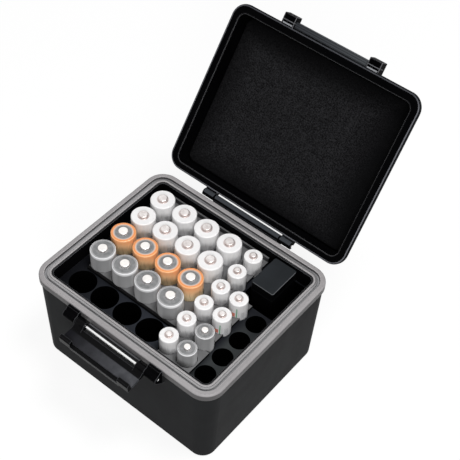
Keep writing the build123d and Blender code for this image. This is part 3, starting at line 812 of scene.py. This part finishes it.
def orange_label():
    """Orange film: a painted highlight makes it pale by the disc; strong on the shoulder, with a painted
    highlight along its outer edge; fading to straw down the side.
    """
    s = CellShader("label_orange", AA_GRID)
    side = s.side_fade(linear(255, 184, 128), linear(248, 224, 180), 65.5, 58.0)
    side = s.mix(s.times(s.streaks(), 0.4), side, linear(150, 126, 84))
    # painted highlight: pale by the disc, strong orange further out
    shoulder = s.mix(s.span(s.radius, 5.2 * MM, 6.2 * MM), linear(234, 206, 184), linear(248, 152, 82))
    # painted highlight along the shoulder's outer edge
    shoulder = s.mix(s.span(s.radius, 6.5 * MM, 6.9 * MM), shoulder, linear(255, 190, 136))
    top = s.span(s.height, 66.3 * MM, 66.8 * MM)
    return finish_label(s, s.mix(top, side, shoulder), 0.22)


def grey_label(name, grid, scale):
    """Grey film with a painted highlight ring along its shoulder; its side is flat in tone through painted
    light, paler at its outline and towards its foot.
    """
    s = CellShader(name, grid)
    # painted light: the side is paler towards its outline, evening out its shading
    off = s.span(s.math("DIVIDE", s.size(s.turned), 7.0 * scale), 0.45, 1.0)
    upper = s.mix(off, linear(160, 160, 161), linear(206, 206, 207))
    lower = s.mix(off, linear(170, 170, 171), linear(230, 230, 231))
    # painted light: paler towards the foot
    side = s.mix(s.span(s.height, 57.0 * MM, 65.5 * MM), lower, upper)
    # painted highlight: a pale ring along the shoulder
    highlight_ring = s.span(s.radius, 6.55 * scale, 6.8 * scale)
    shoulder = s.mix(highlight_ring, linear(168, 168, 170), linear(240, 240, 241))
    top = s.span(s.height, AAA_TOP - 0.7 * MM, AAA_TOP - 0.3 * MM)
    finish_label(s, s.mix(top, side, shoulder), 0.4)
    s.set(Specular_IOR_Level=0.15)
    return s.material


def disc(name, grid, scale, reach):
    """Grey insulating disc, paler towards its edge and faintly clouded."""
    s = CellShader(name, grid)
    clouds = s.noise(420.0, 2.0)
    face = s.mix(s.span(clouds, 0.35, 0.7), linear(116, 117, 118), linear(142, 142, 143))
    edge = s.span(s.radius, (reach - 0.75) * scale, (reach - 0.3) * scale)
    return finish_label(s, s.mix(edge, face, linear(180, 180, 181)), 0.4)


def can_metal(name, grid, nub, crown, shoulder):
    """Plated can: a bright raised end and a duller ring round it."""
    s = CellShader(name, grid)
    fine = s.noise(METAL_SCALE)
    outer = s.span(s.radius, (nub - 0.7) * MM, (nub - 0.35) * MM)
    s.color(s.mix(s.span(fine, 0.3, 0.8), s.mix(outer, crown, shoulder), dimmer(shoulder, 0.9)))
    metal_surface(s, fine, 0.3, 0.4)
    return s.material


give(white_label("label_white_aa", AA_GRID, False), "aa_white_sleeves")
give(white_label("label_white_aaa", AAA_GRID, True), "aaa_white_sleeves")
give(orange_label(), "aa_orange_sleeves")
give(grey_label("label_grey_aa", AA_GRID, MM), "aa_grey_sleeves")
give(grey_label("label_grey_aaa", AAA_GRID, AAA_SHARE * MM), "aaa_grey_sleeves")
give(disc("disc_orange", AA_GRID, MM, 5.25), "aa_orange_washers")
give(disc("disc_grey", AA_GRID, MM, 6.4), "aa_grey_washers")
give(disc("disc_aaa", AAA_GRID, AAA_SHARE * MM, 6.1), "aaa_grey_washers")
give(can_metal("can_white_aa", AA_GRID, AA_NUB, PALE_METAL, ROSE_METAL), "aa_white_cans")
give(can_metal("can_white_aaa", AAA_GRID, AAA_NUB, PALE_METAL, ROSE_METAL), "aaa_white_cans")
give(can_metal("can_bright_aa", AA_GRID, AA_NUB, WHITE_METAL, PALE_METAL), "aa_orange_cans", "aa_grey_cans")
give(can_metal("can_bright_aaa", AAA_GRID, AAA_NUB, WHITE_METAL, PALE_METAL), "aaa_grey_cans")


# ---- foam pieces ----
FOAM_CORNER = 4.2 * MM
FOAM_ROUND = 0.9 * MM
FOAM_WAIST = 0.12 * MM
FOAM_WAVE = 0.16 * MM
FOAM_WAVE_SCALE = 90.0
FACE_RINGS = 44
SIDE_STEPS = 6
ROUND_STEPS = 4
STRAIGHT_STEPS = 26
CORNER_STEPS = 8
QUARTER = math.pi / 2

PAD_LOW, PAD_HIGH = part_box("lid_pad")
FOAM_HALF_X = PAD_HIGH.x
FOAM_SHIFT_X = 5.0 * MM     # the painted shade leaves a pale middle this far to the left
FOAM_MIDDLE_Z = (PAD_LOW.z + PAD_HIGH.z) / 2
FOAM_HALF_Z = (PAD_HIGH.z - PAD_LOW.z) / 2
GRAIN_SHARE = 0.82
BLOTCH_SHARE = 0.18


def foam_material():
    """Dark open foam: pale specks on a near-black ground, with painted shade darker towards the edges."""
    s = Shader("foam_dark")
    grain = s.noise(1300.0, 2.0, 0.8)
    blotch = s.noise(300.0)
    level = s.add(s.times(grain, GRAIN_SHARE), s.times(blotch, BLOTCH_SHARE))
    speck = s.mix(s.span(level, 0.40, 0.66), linear(9, 9, 10), linear(46, 46, 48))
    # painted shade: darker towards the pad's edges, around a pale middle shifted to the left
    across = s.math("DIVIDE", s.add(s.axis("X"), FOAM_SHIFT_X), FOAM_HALF_X)
    along = s.math("DIVIDE", s.minus(s.axis("Z"), FOAM_MIDDLE_Z), FOAM_HALF_Z)
    off = s.larger(s.size(across), s.size(along))
    s.color(s.mix(s.span(off, 0.6, 0.98, 0.0, 0.95), speck, linear(6, 6, 7)))
    s.uneven_gloss(blotch, 0.85, 1.0)
    s.bump(grain, 0.25)
    s.set(Specular_IOR_Level=0.05)
    return s.material


def rounded_outline(half_x, half_y, corner):
    """Points round a rectangle with round corners, about its middle."""
    points = []
    centres = [(half_x - corner, half_y - corner), (corner - half_x, half_y - corner),
               (corner - half_x, corner - half_y), (half_x - corner, corner - half_y)]
    for index, (x, y) in enumerate(centres):
        for step in range(CORNER_STEPS + 1):
            angle = QUARTER * (index + step / CORNER_STEPS)
            points.append(Vector((x + corner * math.cos(angle), y + corner * math.sin(angle))))
        after = Vector(centres[(index + 1) % len(centres)])
        turn = QUARTER * (index + 1)
        start = points[-1].copy()
        end = after + corner * Vector((math.cos(turn), math.sin(turn)))
        points += [start.lerp(end, step / STRAIGHT_STEPS) for step in range(1, STRAIGHT_STEPS)]
    return points


def slab_rings(face, back, up):
    """Inset and height of each ring up a slab's side and over its rounded edge."""
    rings = [(0.0, back)]
    straight = face - up * FOAM_ROUND - back
    for step in range(1, SIDE_STEPS):
        share = step / SIDE_STEPS
        rings.append((FOAM_WAIST * math.sin(math.pi * share), back + straight * share))
    for step in range(ROUND_STEPS + 1):
        angle = QUARTER * step / ROUND_STEPS
        height = face - up * FOAM_ROUND * (1 - math.sin(angle))
        rings.append((FOAM_ROUND * (1 - math.cos(angle)), height))
    return rings


def face_loops(mesh, last, centre, up):
    """Rings of points from the slab's edge to its centre, on a slightly wavy face."""
    loops = []
    for step in range(1, FACE_RINGS):
        loop = []
        for vertex in last:
            point = vertex.co.lerp(centre, step / FACE_RINGS)
            wave = 0.5 + 0.5 * noise.noise(point * FOAM_WAVE_SCALE)
            point.z -= up * FOAM_WAVE * max(0.0, wave)
            loop.append(mesh.verts.new(point))
        loops.append(loop)
    return loops


def foam(name, source, flatten, up, body):
    """A soft slab in a CAD pad's place; flatten lays the pad level, and up, 1 or -1, is its open face."""
    node = NODES[source]
    flat = [flatten @ (node.matrix_world @ vertex.co) for vertex in node.data.vertices]
    low = Vector([min(point[i] for point in flat) for i in range(3)])
    high = Vector([max(point[i] for point in flat) for i in range(3)])
    middle = (low + high) / 2
    half = (high - low) / 2
    face = middle.z + up * half.z
    back = middle.z - up * half.z
    edge = rounded_outline(half.x, half.y, FOAM_CORNER)
    mesh = bmesh.new()
    loops = []
    for inset, z in slab_rings(face, back, up):
        keep_x = 1 - inset / half.x
        keep_y = 1 - inset / half.y
        loops.append([mesh.verts.new((middle.x + p.x * keep_x, middle.y + p.y * keep_y, z)) for p in edge])
    centre = Vector((middle.x, middle.y, face))
    loops += face_loops(mesh, loops[-1], centre, up)
    tip = mesh.verts.new(centre - Vector((0, 0, up * FOAM_WAVE / 2)))
    count = len(edge)
    for inner, outer in zip(loops[1:], loops[:-1]):
        for i in range(count):
            j = (i + 1) % count
            mesh.faces.new((outer[i], outer[j], inner[j], inner[i]))
    for i in range(count):
        mesh.faces.new((loops[-1][i], loops[-1][(i + 1) % count], tip))
    mesh.faces.new(loops[0])
    bmesh.ops.recalc_face_normals(mesh, faces=mesh.faces)
    bmesh.ops.transform(mesh, matrix=flatten.inverted(), verts=mesh.verts)
    data = bpy.data.meshes.new(name)
    mesh.to_mesh(data)
    mesh.free()
    for polygon in data.polygons:
        polygon.use_smooth = True
    piece = bpy.data.objects.new(name, data)
    scene.collection.objects.link(piece)
    data.materials.append(FOAM_MATERIAL)
    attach(piece, body)
    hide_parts(source)


FOAM_MATERIAL = foam_material()
foam("lid_foam", "lid_pad", LID_TURN, -1, "lid")
foam("base_foam", "base_pad", Matrix.Identity(4), 1, "base")
